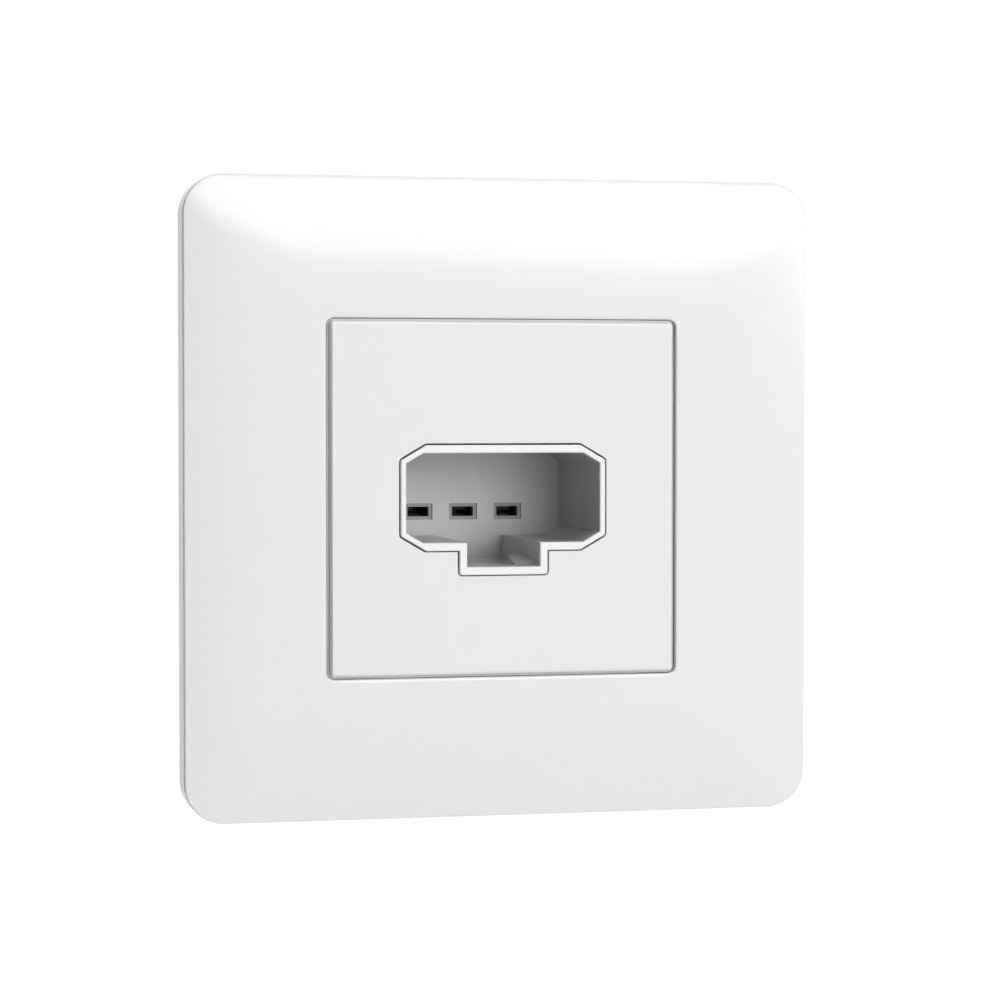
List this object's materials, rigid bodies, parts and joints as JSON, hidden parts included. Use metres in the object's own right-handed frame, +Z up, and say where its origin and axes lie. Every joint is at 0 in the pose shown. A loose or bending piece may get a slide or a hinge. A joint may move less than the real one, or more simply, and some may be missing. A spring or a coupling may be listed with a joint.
{
  "type": "lighting connection outlet",
  "caption": "Flush wall outlet for a luminaire plug: pillow-fronted square cover plate, square insert and a keyed eight-sided socket with flat slots, with its frame, contacts and terminals.",
  "frame": {"origin": "middle of the box screw pattern, in the plane of the wall's surface", "axes": "+X to the right seen from the front, +Z up, front facing -Y, +Y into the wall"},
  "size_m": [0.0816, 0.0336, 0.0816],
  "materials": {
    "plate_white": "satin white moulded plastic",
    "insert_white": "satin white moulded plastic",
    "socket_white": "white moulded plastic",
    "housing_grey": "grey glass-filled plastic",
    "frame_steel": "galvanised pressed sheet",
    "contact_tinned": "tinned spring strip",
    "terminal_brass": "drawn brass",
    "screw_steel": "zinc plated"
  },
  "bodies": {
    "root": {"contact_carrier": "housing_grey", "contact_earth": "contact_tinned", "contact_live": "contact_tinned", "contact_neutral": "contact_tinned", "cover_plate": "plate_white", "frame_screws": "screw_steel", "housing_screws": "screw_steel", "insert_cover": "insert_white", "mounting_frame": "frame_steel", "pressure_plate_earth": "screw_steel", "pressure_plate_live": "screw_steel", "pressure_plate_neutral": "screw_steel", "rear_cover": "housing_grey", "socket_body": "socket_white", "terminal_earth": "terminal_brass", "terminal_live": "terminal_brass", "terminal_neutral": "terminal_brass", "terminal_screw_earth": "screw_steel", "terminal_screw_live": "screw_steel", "terminal_screw_neutral": "screw_steel"}
  },
  "joints": []
}
